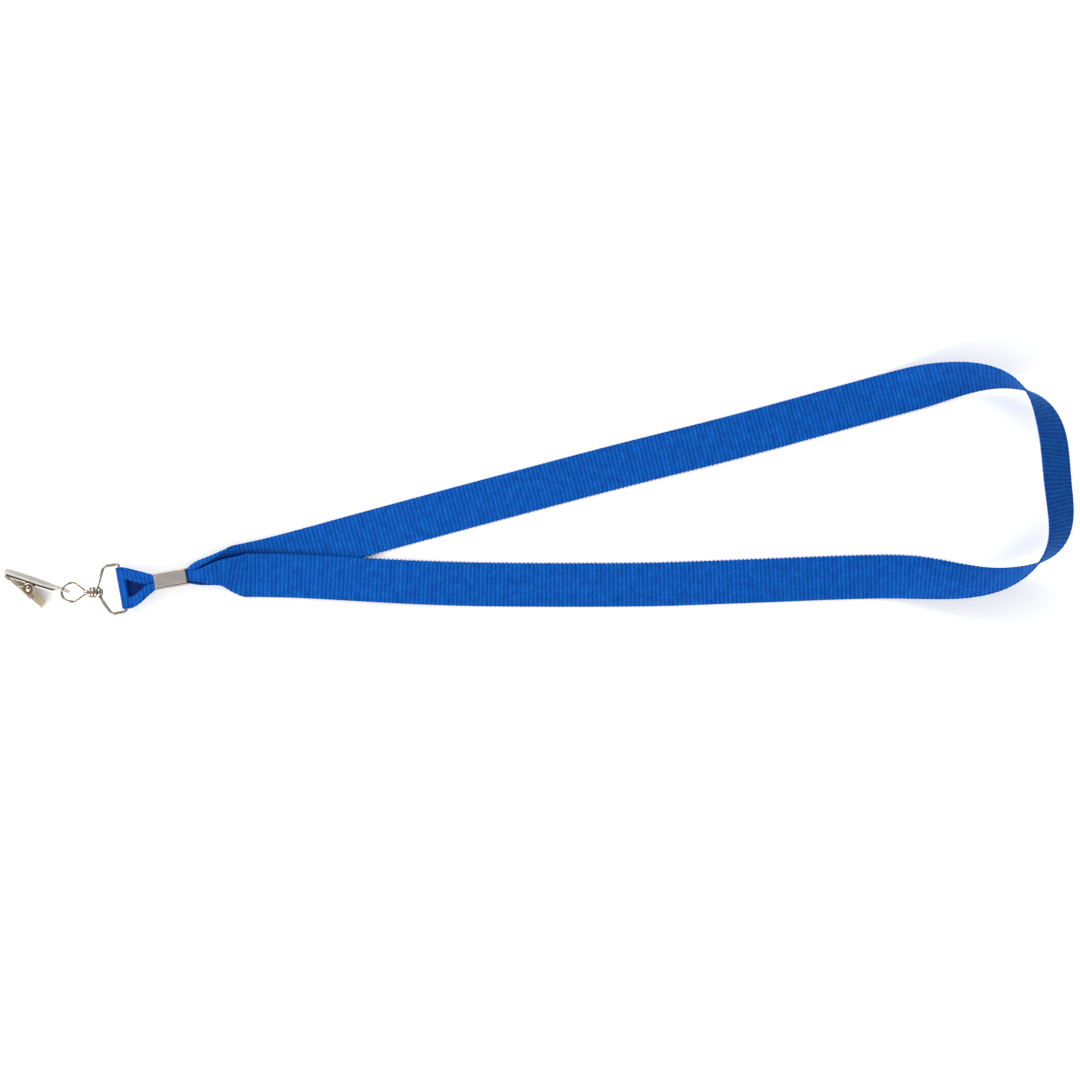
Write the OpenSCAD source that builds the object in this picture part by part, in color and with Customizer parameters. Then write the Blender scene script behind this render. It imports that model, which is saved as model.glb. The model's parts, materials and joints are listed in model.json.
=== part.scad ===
// Neck lanyard: a webbing loop gathered in a metal crimp, with a wire ring,
// a swivel eye and a sprung lever clip, lying flat with its clip on one side.

/* [Strap] */
// Width of the webbing
strap_w = 20; // [16:0.5:22]
// Thickness of the webbing
strap_t = 0.9; // [0.6:0.1:1.1]
// Width of the strap folded in three inside the crimp
fold_w = 5.6; // [5:0.1:5.8]
// Thickness of the strap folded in three and pressed
fold_t = 1.7; // [1.3:0.1:2]
// Width of the strap where it goes round the ring's bar
bar_strap_w = 18.4; // [14:0.2:18.8]

/* [Crimp] */
// Length of the crimp along the strap
crimp_len = 15.2; // [12:0.2:18]
// Width of the crimp across the strap
crimp_w = 7.7; // [7.5:0.1:10]
// Thickness of the crimp's sheet
crimp_wall = 0.6; // [0.4:0.1:0.8]
// Distance from the ring's bar to the crimp
crimp_gap = 14.9; // [14:0.1:18]
// Gap of the crimp's seam on its underside
seam_gap = 0.4; // [0.2:0.1:0.8]

/* [Ring] */
// Diameter of the ring's wire
ring_wire_d = 1.5; // [1.2:0.1:1.8]
// Half of the ring's bar, between the corners' centrelines
bar_half = 11; // [10.7:0.1:13]
// Reach of the ring's short sides from the bar
side_reach = 6.8; // [5:0.1:8]
// Distance from the bar to the middle of the hub
hub_reach = 12.3; // [12:0.1:15]
// Outer diameter of the hub
hub_d = 5; // [4.4:0.1:6]
// Length of the hub's bore
hub_len = 4.2; // [3.4:0.1:5]

/* [Swivel] */
// Diameter of the shank that turns in the hub
shank_d = 2; // [1.8:0.1:2.4]
// Diameter of the shank's riveted head
rivet_d = 3.2; // [2.8:0.1:4]
// Thickness of the shank's riveted head
rivet_t = 1.2; // [0.8:0.1:1.4]
// Diameter of the washer between hub and eye
washer_d = 4.6; // [4:0.1:5]
// Thickness of the washer
washer_t = 1.2; // [0.8:0.1:1.4]
// Diameter of the eye's wire
eye_wire_d = 1.3; // [1:0.1:1.4]
// Radius of the eye to the middle of its wire
eye_r = 4.27; // [4.2:0.1:6]

/* [Clip] */
// Thickness of the clip's sheet
sheet_t = 0.5; // [0.4:0.05:0.6]
// Width of the upper jaw
jaw_w = 7.4; // [7:0.1:10]
// Length of the upper jaw from the tail hole to its nose
jaw_len = 28.6; // [28:0.2:34]
// Depth of the upper jaw's side walls
jaw_depth = 1.8; // [1.6:0.1:2]
// Width of the tail at its hole
tail_w = 5; // [4.6:0.1:5.4]
// Diameter of the tail hole
tail_hole_d = 2.6; // [2.5:0.1:3]
// Distance from the tail hole to the pivot pin
pivot_reach = 14.3; // [14:0.1:16]
// Depth of the pivot pin below the upper jaw's inner face
pivot_drop = 3.3; // [3.2:0.1:3.8]
// Diameter of the pivot pin
pin_d = 1.6; // [1.4:0.1:1.8]
// Diameter of the pin's heads
pin_head_d = 2.6; // [2.2:0.1:3]
// Length of the thumb tab behind the pivot
tab_len = 9.7; // [8:0.1:11]
// Width of the thumb tab at its end
tab_w = 6.8; // [6:0.1:8]
// Diameter of the spring's wire
spring_wire_d = 0.7; // [0.5:0.1:0.8]

/* [Pose] */
// Direction of the crimp and ring, in degrees
pull_angle = 10; // [0:1:15]
// Turn of the swivel's axis in the ring's plane
eye_turn = -10; // [-10:1:0]
// Direction of the clip from its tail hole
clip_angle = 161.5; // [155:0.5:170]
// Roll of the clip about its own length
clip_roll = 15; // [10:1:18]

/* [Hidden] */

$fn = 48;
eps = 0.01;
running = 0.05;        // radial clearance of a turning fit
seat = 0.05;           // gap between faces that seat on each other
layer_gap = 0.1;       // gap between layers of webbing
bar_clear = 0.2;       // gap between the webbing and the ring's bar
bend_r = 1.5;          // bend radius of the ring's corners
leg_end = 0.8;         // offset of each leg's end from the hub's middle
lap = 0.05;            // straights of wire run this far into their bends
swell = 0.02;          // bends are this much thicker, so that they cover the straights' ends
crimp_chamfer = 0.7;
side_gap = 0.2;        // gap between the lever's ears and the upper jaw
lever_drop = 4.4;      // pivot to the lever's outer face
tab_depth = 2.1;       // depth of the thumb tab's side walls
ear_r = 2.6;           // radius of the lever's ears
tip_gap = 0.2;         // gap between the closed jaws
nose_lip = 0.19;       // depth of the nose's lip below the upper jaw's inner face

// closed lever against the upper jaw: its outer sheet reaches the lip at the nose
nose_reach = jaw_len - pivot_reach;
nose_rise = pivot_drop - tip_gap - nose_lip;
lever_angle = atan2(nose_rise, nose_reach)
    + asin((lever_drop - sheet_t) / norm([nose_reach, nose_rise]));

sub = 3;               // rings between two stations of the strap

// heights of the three folded layers in the crimp
layer_pitch = fold_t + layer_gap;
crimp_h = 3 * layer_pitch + layer_gap + 2 * crimp_wall;
low_z = crimp_wall + layer_gap + fold_t / 2;
mid_z = low_z + layer_pitch;
top_z = mid_z + layer_pitch;
bar_z = mid_z;
lie = strap_t / 2;                 // mid-surface of the strap lying flat
over = lie + strap_t + layer_gap;  // the same where it lies on the other run
wrap_r = ring_wire_d / 2 + bar_clear + strap_t / 2;

function unit(v) = v / norm(v);
function along(u, z) = [u * cos(pull_angle), u * sin(pull_angle), z];
function turned(p, a) = [p.x * cos(a) - p.y * sin(a), p.x * sin(a) + p.y * cos(a)];

// Stations of the strap from its cut end in the crimp round the neck loop and
// back: x, y, height of its lower edge, lean, width and thickness
crimp_in = crimp_gap + 1;
crimp_out = crimp_gap + crimp_len;
function inside(u, z) = concat(along(u, z), [0, fold_w, fold_t]);

run_out = [
    inside(crimp_in, mid_z),
    inside(crimp_in + 4, mid_z),
    inside(crimp_in + 8, mid_z),
    inside(crimp_out - 2, mid_z),
    inside(crimp_out, mid_z),
    concat(along(crimp_out + 1.5, mid_z - 0.1), [0, fold_w * 1.15, fold_t]),
    [34.5, 6.2, 2.5, 0, strap_w * 0.52, 1.5],
    [41, 7.4, 1.4, 0, strap_w * 0.72, 1.2],
    [47, 8.3, 0.8, 0, strap_w * 0.92, 1],
    [54, 9.6, lie, 0, strap_w, strap_t],
    [66, 12.4, lie, 0, strap_w, strap_t],
    [82, 16.6, lie, 0, strap_w, strap_t],
    [109, 24.1, lie, 0, strap_w, strap_t],
    [137, 31.7, lie, 0, strap_w, strap_t],
    [164, 39, lie, 0, strap_w, strap_t],
    [192, 46.4, lie, 0, strap_w, strap_t],
    [220, 53.9, lie, 0, strap_w, strap_t],
    [247, 60.7, lie, 0, strap_w, strap_t],
    [275, 67.6, lie, 0, strap_w, strap_t],
    [302, 74.9, lie, 0, strap_w, strap_t],
    [316, 78.8, lie, 0, strap_w, strap_t],
    [330, 82.6, lie, 0, strap_w, strap_t],
    [343, 86.2, lie, 0, strap_w, strap_t]
];

arch = [
    [355, 89.4, lie, 2], [366, 92.3, lie, 12], [376, 94.6, lie, 30],
    [386, 96.2, 0.8, 45], [396, 96.6, 1.6, 60], [406, 94.8, 3, 78],
    [415, 89.5, 5.5, 102], [421, 81.5, 8.5, 125], [424.5, 71.5, 11.5, 136],
    [425.5, 60, 14, 137], [426, 49, 15.5, 136], [427.5, 38, 15, 135],
    [428.5, 28, 12.5, 131], [426.5, 19, 9, 118], [420.5, 12, 6, 99],
    [412.5, 7, 4, 80], [402.5, 3.6, 2, 63], [392, 2.6, 1, 48],
    [381, 3, lie, 34], [370, 4.2, lie, 20], [359, 4.9, lie, 6]
];

run_back = [
    [347, 5, lie, 0, strap_w, strap_t],
    [330, 4.5, lie, 0, strap_w, strap_t],
    [316, 4, lie, 0, strap_w, strap_t],
    [302, 3.4, lie, 0, strap_w, strap_t],
    [275, 2.4, lie, 0, strap_w, strap_t],
    [247, 1.3, lie, 0, strap_w, strap_t],
    [220, 1.1, lie, 0, strap_w, strap_t],
    [192, 1.1, lie, 0, strap_w, strap_t],
    [164, 1.3, lie, 0, strap_w, strap_t],
    [140, 2, over - 0.3, 0, strap_w, strap_t],
    [120, 3, over + 0.2, 0, strap_w, strap_t],
    [100, 4.2, over, 0, strap_w, strap_t],
    [82, 5.2, over, 0, strap_w, strap_t],
    [66, 5.6, over, 0, strap_w, strap_t],
    [54, 5.7, over + 0.5, 0, strap_w * 0.96, 1],
    [47, 5.9, over + 1.2, 0, strap_w * 0.72, 1.2],
    [41, 6.2, over + 2, 0, strap_w * 0.62, 1.4],
    [34.5, 6.2, top_z - 0.2, 0, strap_w * 0.52, fold_t],
    concat(along(crimp_out + 1.5, top_z), [0, fold_w * 1.15, fold_t]),
    inside(crimp_out, top_z),
    inside(crimp_out - 2, top_z),
    inside(crimp_in + 9, top_z),
    inside(crimp_in + 6, top_z)
];

// Stations of the loop round the bar: distance from the bar, height, width
// and thickness, over the bar and then back under it into the crimp
loop_over = [
    [crimp_gap + 0.5, top_z, fold_w, fold_t],
    [crimp_gap - 2, top_z - 0.1, strap_w * 0.44, 1.6],
    [crimp_gap - 5, top_z - 0.2, strap_w * 0.57, 1.5],
    [crimp_gap - 8, bar_z + wrap_r, strap_w * 0.7, 1.2],
    [crimp_gap - 11, bar_z + wrap_r, strap_w * 0.82, strap_t]
];
loop_under = [
    [crimp_gap - 11, bar_z - wrap_r, strap_w * 0.82, strap_t],
    [crimp_gap - 8, bar_z - wrap_r, strap_w * 0.7, 1.2],
    [crimp_gap - 5, low_z + 0.2, strap_w * 0.57, 1.5],
    [crimp_gap - 2, low_z + 0.1, strap_w * 0.44, 1.6],
    [crimp_gap + 0.5, low_z, fold_w, fold_t],
    [crimp_gap + 8, low_z, fold_w, fold_t],
    [crimp_gap + crimp_len - 1, low_z, fold_w, fold_t]
];

// A cubic B-spline through the middle of its stations
function knot(p, q, r, s, t) = (p * pow(1 - t, 3) + q * (3 * pow(t, 3) - 6 * t * t + 4)
    + r * (-3 * pow(t, 3) + 3 * t * t + 3 * t + 1) + s * pow(t, 3)) / 6;
function spline(p) = [for (i = [0 : len(p) - 4], k = [0 : sub - 1])
    knot(p[i], p[i + 1], p[i + 2], p[i + 3], k / sub)];

neck = spline(concat(run_out, [for (s = arch) concat(s, [strap_w, strap_t])], run_back));
neck_mid = [for (s = neck) [s[0], s[1], s[2] + s[4] / 2 * sin(s[3])]];
last = len(neck) - 1;

// One cross-section is its middle, its direction across, its normal and size
function section(i) = let (
    t = unit(neck_mid[min(i + 1, last)] - neck_mid[max(i - 1, 0)]),
    left = unit([-t.y, t.x, 0]),
    across = left * cos(neck[i][3]) + cross(t, left) * sin(neck[i][3]))
    [neck_mid[i], across, cross(t, across), neck[i][4], neck[i][5]];

loop_across = [sin(pull_angle), -cos(pull_angle), 0];
function flat(s, up) = [along(s[0], s[1]), loop_across, [0, 0, up], s[2], s[3]];
function around(a) = [along(-wrap_r * sin(a), bar_z + wrap_r * cos(a)), loop_across,
    along(-sin(a), cos(a)), bar_strap_w, strap_t];

sections = concat([for (i = [0 : last]) section(i)], [for (s = loop_over) flat(s, 1)],
    [for (a = [0 : 15 : 180]) around(a)], [for (s = loop_under) flat(s, -1)]);

function corners(s) = [for (c = [[1, 1], [-1, 1], [-1, -1], [1, -1]])
    s[0] + s[1] * c[0] * s[3] / 2 + s[2] * c[1] * s[4] / 2];
strap_points = [for (s = sections) each corners(s)];

// The ring, the eye and the clip's tail hole
function wire_heading(a, b) = atan2(b.y - a.y, b.x - a.x);
function wire_turn(a, b, c) = let (d = wire_heading(b, c) - wire_heading(a, b))
    d > 180 ? d - 360 : d < -180 ? d + 360 : d;
function bend_start(a, b, c) = b - unit(b - a) * bend_r * tan(abs(wire_turn(a, b, c)) / 2);
function bend_middle(a, b, c) = let (h = wire_heading(a, b))
    bend_start(a, b, c) + bend_r * sign(wire_turn(a, b, c)) * [-sin(h), cos(h)];
function bend_end(a, b, c) = b + unit(c - b) * bend_r * tan(abs(wire_turn(a, b, c)) / 2);

shoulder = bar_half + 0.1;
ring_path = [[hub_reach - 0.3, leg_end], [side_reach, shoulder], [0, bar_half],
             [0, -bar_half], [side_reach, -shoulder], [hub_reach - 0.3, -leg_end]];

apex = hub_len / 2 + washer_t + 1.1;                 // where the eye's wires meet
eye_reach = apex + 6.85;                              // hub to the eye's centre
eye_tangent = asin(eye_r / (eye_reach - apex));       // half angle at the apex
tail_turn = -16;                                      // where on the eye the clip hangs
hole_in_ring = [hub_reach, 0]
    + turned([eye_reach + eye_r * cos(tail_turn), eye_r * sin(tail_turn)], eye_turn);

lever_w = jaw_w + 2 * side_gap + 2 * sheet_t;
wide_back = -4;                                       // where the tab reaches the full width
lever_front = (jaw_len - pivot_reach - lever_drop * sin(lever_angle)) / cos(lever_angle);
lever_tip = lever_front + 0.3;

// A point x along the lever's outer face, seen in the upper jaw's frame
function lever_a(x) = pivot_reach + x * cos(lever_angle) + lever_drop * sin(lever_angle);
function lever_b(x) = pivot_drop - x * sin(lever_angle) + lever_drop * cos(lever_angle);

// The clip lies on its lowest corner, the tab's end or the lever's full width
clip_z = seat + max(lever_b(-tab_len) * sin(clip_roll) + tab_w / 2 * cos(clip_roll),
                    lever_b(wide_back) * sin(clip_roll) + lever_w / 2 * cos(clip_roll));
pitch = asin((clip_z - bar_z) / hole_in_ring.x);
heading = 180 + pull_angle;
tail_hole = concat(turned([hole_in_ring.x * cos(pitch), hole_in_ring.y], heading), [clip_z]);

// The frame's origin is under the middle of the whole object
tip_side = lever_b(lever_tip) * cos(clip_roll) + lever_w / 2 * sin(clip_roll);
ring_corner = bend_middle(ring_path[0], ring_path[1], ring_path[2]);
x_lo = tail_hole.x + turned([lever_a(lever_tip), tip_side], clip_angle).x;
x_hi = max([for (p = strap_points) p.x]);
y_lo = turned([ring_corner.x * cos(pitch), ring_corner.y], heading).y
    - bend_r - (ring_wire_d + swell) / 2;
y_hi = max([for (p = strap_points) p.y]);
origin = [(x_lo + x_hi) / 2, (y_lo + y_hi) / 2, 0];

module placed() { translate(-origin) children(); }
module ring_frame() { placed() translate([0, 0, bar_z]) rotate([0, -pitch, heading]) children(); }
module eye_frame() { ring_frame() translate([hub_reach, 0, 0]) rotate([0, 0, eye_turn]) children(); }
module clip_frame() { placed() translate(tail_hole) rotate([-clip_roll, 0, clip_angle]) children(); }
module pivot_frame() { clip_frame() translate([pivot_reach, pivot_drop, 0]) children(); }
module lever_frame() { pivot_frame() rotate([0, 0, -lever_angle]) children(); }

// A rod along x, with its start on the origin
module rod(d, h) { rotate([0, 90, 0]) cylinder(d = d, h = h); }

// A plate drawn in x and z and as thick as t along y, up to the face at y
module floor_plate(y, t, outline) {
    translate([0, y, 0]) rotate([90, 0, 0]) linear_extrude(t) polygon(outline);
}

// Two equal side plates drawn in x and y, with their outer faces w apart
module side_plates(w, outline) {
    for (z = [-w / 2, w / 2 - sheet_t])
        translate([0, 0, z]) linear_extrude(sheet_t) polygon(outline);
}

module strap() {
    n = len(sections);
    color("royalblue") placed() polyhedron(strap_points, concat(
        [[0, 1, 2, 3]],
        [for (i = [0 : n - 2], k = [0 : 3]) let (a = 4 * i + k, b = 4 * i + (k + 1) % 4)
            each [[a, a + 4, b], [b, a + 4, b + 4]]],
        [[4 * n - 1, 4 * n - 2, 4 * n - 3, 4 * n - 4]]));
}

module crimp_outline(w, h, c) {
    polygon([for (q = [[1, 1], [-1, 1], [-1, -1], [1, -1]])
        each (q.x * q.y > 0
            ? [[q.x * w / 2, q.y * (h / 2 - c)], [q.x * (w / 2 - c), q.y * h / 2]]
            : [[q.x * (w / 2 - c), q.y * h / 2], [q.x * w / 2, q.y * (h / 2 - c)]])]);
}

module crimp() {
    inner_c = crimp_chamfer - crimp_wall * (2 - sqrt(2));
    color("silver") placed() rotate([0, 0, pull_angle]) translate([crimp_gap, 0, crimp_h / 2])
        rotate([90, 0, 90]) difference() {
            linear_extrude(crimp_len) crimp_outline(crimp_w, crimp_h, crimp_chamfer);
            translate([0, 0, -eps]) linear_extrude(crimp_len + 2 * eps)
                crimp_outline(crimp_w - 2 * crimp_wall, crimp_h - 2 * crimp_wall, inner_c);
            translate([-seam_gap / 2, -crimp_h / 2 - eps, -eps])
                cube([seam_gap, crimp_wall + 2 * eps, crimp_len + 2 * eps]);
        }
}

// A round bend in a wire that runs from a through b to c
module wire_bend(a, b, c, d) {
    t = wire_turn(a, b, c);
    s = sign(t);
    h = wire_heading(a, b);
    translate(bend_middle(a, b, c))
        rotate([0, 0, s > 0 ? h - 90 : h + 90 + t])
            rotate_extrude(angle = abs(t)) translate([bend_r, 0]) circle(d = d + swell);
}

module wire_line(a, b, d) {
    translate(a) rotate([0, 0, wire_heading(a, b)]) translate([-lap, 0, 0]) rod(d, norm(b - a) + 2 * lap);
}

module strap_ring() {
    p = ring_path;
    n = len(p) - 1;
    color("gainsboro") difference() {
        union() {
            ring_frame() {
                for (i = [1 : n - 1]) wire_bend(p[i - 1], p[i], p[i + 1], ring_wire_d);
                for (i = [0 : n - 1])
                    wire_line(i == 0 ? p[0] : bend_end(p[i - 1], p[i], p[i + 1]),
                              i == n - 1 ? p[n] : bend_start(p[i], p[i + 1], p[i + 2]), ring_wire_d);
            }
            eye_frame() translate([-hub_len / 2, 0, 0]) rod(hub_d, hub_len);
        }
        eye_frame() translate([-hub_len, 0, 0]) rod(shank_d + 2 * running, 2 * hub_len);
    }
}

module swivel_eye() {
    arc = 90 + eye_tangent;
    side = (eye_reach - apex) * cos(eye_tangent);
    color("gainsboro") eye_frame() {
        translate([eye_reach, 0, 0]) rotate([0, 0, -arc])
            rotate_extrude(angle = 2 * arc) translate([eye_r, 0]) circle(d = eye_wire_d + swell);
        for (s = [-1, 1]) translate([apex, 0, 0]) rotate([0, 0, s * eye_tangent])
            rod(eye_wire_d, side + lap);
        translate([-hub_len / 2 - running - rivet_t / 2, 0, 0])
            rod(shank_d, apex + hub_len / 2 + rivet_t / 2 + eye_wire_d);
        translate([-hub_len / 2 - running - rivet_t, 0, 0]) rod(rivet_d, rivet_t);
    }
}

module swivel_washer() {
    color("silver") eye_frame() translate([hub_len / 2 + seat, 0, 0]) difference() {
        rod(washer_d, washer_t);
        translate([-eps, 0, 0]) rod(shank_d + 2 * running, washer_t + 2 * eps);
    }
}

module upper_jaw() {
    top = -sheet_t;
    low = jaw_depth - sheet_t;
    half = jaw_w / 2;
    tail = tail_w / 2;
    tail_end = -3.6;
    wide = 8.5;                          // where the tail reaches the full width
    color("gainsboro") clip_frame() difference() {
        union() {
            // top sheet with its tongue, tapering tail and nose
            floor_plate(0, sheet_t, [[tail_end, -1], [-1.2, -tail], [1.6, -tail], [wide, -half],
                [jaw_len, -half], [jaw_len, half], [wide, half], [1.6, tail], [-1.2, tail],
                [tail_end, 1]]);
            // side walls of the tapering tail
            for (s = [-1, 1])
                floor_plate(low, jaw_depth, [[1.6, s * tail], [wide, s * half],
                    [wide, s * (half - sheet_t)], [1.6, s * (tail - sheet_t)]]);
            // side walls with the ears that hold the pin
            side_plates(jaw_w, [[wide - eps, top], [wide - eps, low], [pivot_reach - 2.6, low],
                [pivot_reach - 1.9, pivot_drop + 1.2], [pivot_reach - 1.2, pivot_drop + 1.9],
                [pivot_reach + 1.2, pivot_drop + 1.9], [pivot_reach + 1.9, pivot_drop + 1.2],
                [pivot_reach + 2.6, low], [jaw_len - 4.6, low], [jaw_len - 1.1, 0.2],
                [jaw_len - 1.1, top]]);
            // the nose turned down to meet the lever
            translate([jaw_len - sheet_t, top, -half]) cube([sheet_t, sheet_t + nose_lip, jaw_w]);
        }
        translate([0, top - eps, 0]) rotate([-90, 0, 0])
            cylinder(d = tail_hole_d, h = sheet_t + 2 * eps);
        translate([pivot_reach, pivot_drop, -half - eps])
            cylinder(d = pin_d + 2 * running, h = jaw_w + 2 * eps);
    }
}

module lower_jaw() {
    half = lever_w / 2;
    tab = tab_w / 2;
    face = lever_drop;
    edge = face - tab_depth;
    front = lever_tip;
    color("lightgray") lever_frame() difference() {
        union() {
            // outer sheet from the thumb tab to the tip
            floor_plate(face, sheet_t, [[-tab_len, -tab], [wide_back, -half], [front, -half],
                [front, half], [wide_back, half], [-tab_len, tab]]);
            // side walls of the thumb tab
            for (s = [-1, 1])
                floor_plate(face, tab_depth, [[-tab_len, s * tab], [wide_back, s * half],
                    [wide_back, s * (half - sheet_t)], [-tab_len, s * (tab - sheet_t)]]);
            // ears that ride on the pin, and the low walls ahead of them
            side_plates(lever_w, [[wide_back - eps, face], [wide_back - eps, edge], [-2.5, 0.8],
                [2.5, 0.8], [4.4, edge + 0.3], [front - 1.5, face - 1.1], [front - 1, face]]);
            for (z = [-half, half - sheet_t]) translate([0, 0, z]) cylinder(r = ear_r, h = sheet_t);
        }
        translate([0, 0, -half - eps]) cylinder(d = pin_d + 2 * running, h = lever_w + 2 * eps);
    }
}

module pivot_pin() {
    head_t = 0.5;
    head_z = lever_w / 2 + seat;
    color("whitesmoke") pivot_frame() {
        translate([0, 0, -head_z - head_t / 2]) cylinder(d = pin_d, h = 2 * head_z + head_t);
        for (z = [-head_z - head_t, head_z]) translate([0, 0, z])
            cylinder(d = pin_head_d, h = head_t);
    }
}

// The closed coil of a torsion spring, with one leg on each jaw
module torsion_spring() {
    coil_in = pin_d / 2 + 0.3;
    coil_len = 4 * spring_wire_d;
    leg = 5.2;
    leg_d = spring_wire_d - 0.1;      // thinner, so that it lies wholly in the coil's wall
    leg_z = (coil_len - spring_wire_d) / 2 - 0.1;
    coil_mid = coil_in + spring_wire_d / 2;
    reach = norm([coil_mid, leg]);
    seat_off = seat + spring_wire_d / 2;
    jaw_dip = asin((pivot_drop - seat_off) / reach) - atan(coil_mid / leg);
    lever_dip = asin((lever_drop - sheet_t - seat_off) / reach) - atan(coil_mid / leg);
    color("dimgray") pivot_frame() {
        translate([0, 0, -coil_len / 2]) difference() {
            cylinder(r = coil_in + spring_wire_d, h = coil_len);
            translate([0, 0, -eps]) cylinder(r = coil_in, h = coil_len + 2 * eps);
        }
        rotate([0, 0, jaw_dip]) translate([0, -coil_mid, leg_z])
            rotate([0, 0, 180]) rod(leg_d, leg);
        rotate([0, 0, -lever_angle - lever_dip])
            translate([0, coil_mid, -leg_z])
                rotate([0, 0, 180]) rod(leg_d, leg);
    }
}

strap();
crimp();
strap_ring();
swivel_eye();
swivel_washer();
upper_jaw();
lower_jaw();
pivot_pin();
torsion_spring();
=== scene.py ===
import json
import math
import bmesh
import bpy
import numpy as np
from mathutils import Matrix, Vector


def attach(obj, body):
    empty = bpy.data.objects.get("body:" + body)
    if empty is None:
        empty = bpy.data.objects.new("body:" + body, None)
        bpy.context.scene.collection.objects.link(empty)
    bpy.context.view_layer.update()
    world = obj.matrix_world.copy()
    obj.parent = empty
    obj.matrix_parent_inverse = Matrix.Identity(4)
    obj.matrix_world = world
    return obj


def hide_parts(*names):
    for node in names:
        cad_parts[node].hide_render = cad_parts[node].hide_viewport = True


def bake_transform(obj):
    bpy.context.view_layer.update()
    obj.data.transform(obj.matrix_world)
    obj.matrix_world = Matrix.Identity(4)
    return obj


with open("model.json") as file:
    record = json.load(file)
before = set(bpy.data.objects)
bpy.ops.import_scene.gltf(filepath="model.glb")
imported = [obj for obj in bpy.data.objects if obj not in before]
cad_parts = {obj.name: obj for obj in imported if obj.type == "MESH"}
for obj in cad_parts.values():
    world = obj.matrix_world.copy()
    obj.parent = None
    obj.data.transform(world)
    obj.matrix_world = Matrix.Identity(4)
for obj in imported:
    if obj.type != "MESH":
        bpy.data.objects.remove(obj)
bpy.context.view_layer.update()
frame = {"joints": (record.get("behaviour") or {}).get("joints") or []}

mm = 0.001
scene = bpy.context.scene
joints = {j["name"]: j for j in frame["joints"]}


def unit(v):
    v = np.asarray(v, float)
    return v / np.linalg.norm(v)


def axesFrom(place, x, z):
    # a frame from its place and two directions, as a 4x4 matrix in metres
    x, z = unit(x), unit(z)
    y = np.cross(z, x)
    m = np.eye(4)
    m[:3, 0], m[:3, 1], m[:3, 2], m[:3, 3] = x, y, z, place
    return m


def addMesh(name, points, faces, smooth=True):
    mesh = bpy.data.meshes.new(name)
    mesh.from_pydata([tuple(p) for p in points], [], [tuple(int(i) for i in f) for f in faces])
    mesh.update()
    if smooth:
        mesh.polygons.foreach_set("use_smooth", [True] * len(mesh.polygons))
    piece = bpy.data.objects.new(name, mesh)
    scene.collection.objects.link(piece)
    return piece


def placed(m, points):
    # points in millimetres in a piece's own frame, moved to the object's frame in metres
    p = np.asarray(points, float) * mm
    return p @ m[:3, :3].T + m[:3, 3]


def loft(rings, caps=True, base=0):
    # faces between rings of the same number of points, with flat ends
    n = len(rings[0])
    faces = []
    for i in range(len(rings) - 1):
        for k in range(n):
            a, b = base + i * n + k, base + i * n + (k + 1) % n
            faces.append((a, b, b + n, a + n))
    if caps:
        faces.append(tuple(base + k for k in reversed(range(n))))
        top = base + (len(rings) - 1) * n
        faces.append(tuple(top + k for k in range(n)))
    return faces


def turnOut(piece):
    # recalculates outward normals on a merged closed shell
    b = bmesh.new()
    b.from_mesh(piece.data)
    bmesh.ops.remove_doubles(b, verts=b.verts, dist=1e-7)
    bmesh.ops.recalc_face_normals(b, faces=b.faces)
    b.to_mesh(piece.data)
    b.free()
    return piece


def smoothPath(points, steps):
    # a Catmull-Rom curve through its points
    p = np.asarray(points, float)
    p = np.vstack([2 * p[0] - p[1], p, 2 * p[-1] - p[-2]])
    out = []
    for i in range(1, len(p) - 2):
        for t in np.arange(steps) / steps:
            a, b, c, d = p[i - 1], p[i], p[i + 1], p[i + 2]
            out.append(0.5 * (2 * b + (c - a) * t + (2 * a - 5 * b + 4 * c - d) * t * t
                              + (3 * b - a - 3 * c + d) * t ** 3))
    out.append(p[-2])
    return np.array(out)


def wireRings(path, diameter, sides=12, roundEnds=True):
    # rings of a round wire along a path, turned as little as possible from one to the next
    path = np.asarray(path, float)
    tangents = np.gradient(path, axis=0)
    tangents /= np.linalg.norm(tangents, axis=1)[:, None]
    side = unit(np.cross(tangents[0], [0.13, 0.21, 0.97]))
    rings = []
    for p, t in zip(path, tangents):
        side = unit(side - t * np.dot(side, t))
        up = np.cross(t, side)
        a = np.arange(sides) * 2 * math.pi / sides
        rings.append(p + diameter / 2 * (np.outer(np.cos(a), side) + np.outer(np.sin(a), up)))
    if roundEnds:
        def dome(ring, p, t):
            return [p + (ring - p) * math.cos(q) + t * diameter / 2 * math.sin(q) * 0.7
                    for q in (0.5, 1.0, 1.4)]
        rings = (dome(rings[0], path[0], -tangents[0])[::-1] + rings
                 + dome(rings[-1], path[-1], tangents[-1]))
    return rings


def lathe(profile, sides=40):
    # rings of points round the z axis from a list of radius and height
    a = np.arange(sides) * 2 * math.pi / sides
    return [np.stack([r * np.cos(a), r * np.sin(a), np.full(sides, z)], 1) for r, z in profile]


def newMaterial(name):
    mat = bpy.data.materials.new(name)
    mat.use_nodes = True
    nodes, links = mat.node_tree.nodes, mat.node_tree.links
    return mat, nodes, links, nodes["Principled BSDF"]


def ramp(nodes, stops):
    # a colour ramp from places and colours
    node = nodes.new("ShaderNodeValToRGB")
    elements = node.color_ramp.elements
    for element, (place, colour) in zip(elements, (stops[0], stops[-1])):
        element.position, element.color = place, (*colour, 1)
    for place, colour in stops[1:-1]:
        elements.new(place).color = (*colour, 1)
    return node


def feed(links, *pairs):
    # gives each socket its link or its plain value
    for socket, value in pairs:
        if isinstance(value, (int, float, tuple)):
            socket.default_value = value
        elif value is not None:
            links.new(value, socket)


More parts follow.
